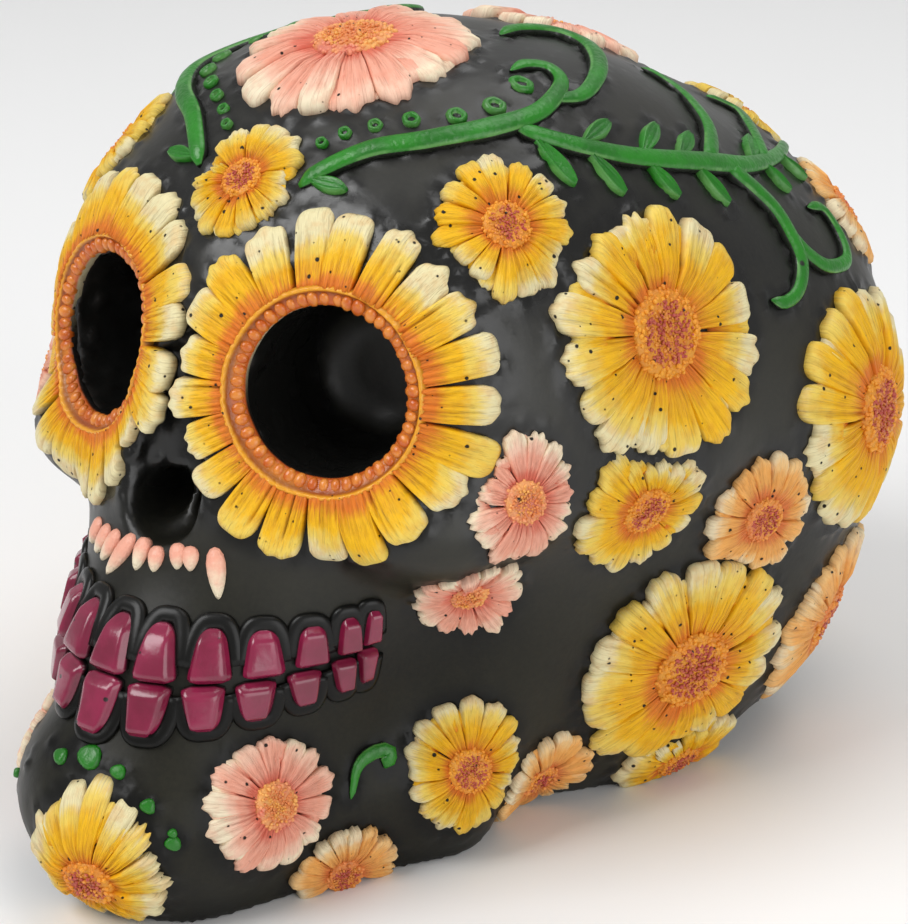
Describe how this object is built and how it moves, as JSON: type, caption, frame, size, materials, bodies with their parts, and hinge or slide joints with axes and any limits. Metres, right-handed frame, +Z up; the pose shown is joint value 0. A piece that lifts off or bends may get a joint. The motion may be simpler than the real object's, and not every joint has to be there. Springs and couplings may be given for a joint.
{
  "type": "sugar skull ornament",
  "caption": "Painted cast skull ornament with raised flowers, eye blooms, vines and tooth rows, standing on a flat base.",
  "frame": {"origin": "on the flat base, in the skull's middle plane, under the front of the braincase", "axes": "+Z up, the face looks towards -Y, the skull's own left is +X"},
  "size_m": [0.1286, 0.1717, 0.1202],
  "materials": {
    "black_resin": "satin",
    "yellow_petals": "satin",
    "pink_petals": "satin",
    "apricot_petals": "satin",
    "orange_rim": "satin",
    "green_vine": "satin",
    "raspberry_teeth": "glossy"
  },
  "bodies": {
    "root": {"skull": "black_resin", "left_eye_bloom": "yellow_petals", "left_eye_rim": "orange_rim", "right_eye_bloom": "yellow_petals", "right_eye_rim": "orange_rim", "brow_flower": "yellow_petals", "crown_flower": "pink_petals", "chin_flower": "yellow_petals", "rear_crown_flower": "pink_petals", "back_flower": "yellow_petals", "nape_flower": "pink_petals", "left_forehead_flower": "yellow_petals", "right_forehead_flower": "yellow_petals", "left_temple_flower": "yellow_petals", "right_temple_flower": "yellow_petals", "left_cheek_arch_flower": "yellow_petals", "right_cheek_arch_flower": "yellow_petals", "left_ear_flower": "apricot_petals", "right_ear_flower": "apricot_petals", "left_side_flower": "yellow_petals", "right_side_flower": "yellow_petals", "left_lower_side_flower": "yellow_petals", "right_lower_side_flower": "yellow_petals", "left_cheekbone_flower": "pink_petals", "right_cheekbone_flower": "pink_petals", "left_under_cheek_flower": "pink_petals", "right_under_cheek_flower": "pink_petals", "left_jaw_angle_flower": "yellow_petals", "right_jaw_angle_flower": "yellow_petals", "left_behind_jaw_flower": "apricot_petals", "right_behind_jaw_flower": "apricot_petals", "left_chin_side_flower": "pink_petals", "right_chin_side_flower": "pink_petals", "left_jaw_edge_flower": "apricot_petals", "right_jaw_edge_flower": "apricot_petals", "left_base_flower": "yellow_petals", "right_base_flower": "yellow_petals", "left_low_rear_flower": "apricot_petals", "right_low_rear_flower": "apricot_petals", "left_high_rear_flower": "apricot_petals", "right_high_rear_flower": "apricot_petals", "left_rear_top_flower": "yellow_petals", "right_rear_top_flower": "yellow_petals", "left_rear_side_flower": "yellow_petals", "right_rear_side_flower": "yellow_petals", "left_low_back_flower": "yellow_petals", "right_low_back_flower": "yellow_petals", "left_vine": "green_vine", "left_jaw_curl": "green_vine", "right_vine": "green_vine", "right_jaw_curl": "green_vine", "upper_teeth": "raspberry_teeth", "lower_teeth": "raspberry_teeth"}
  },
  "joints": []
}
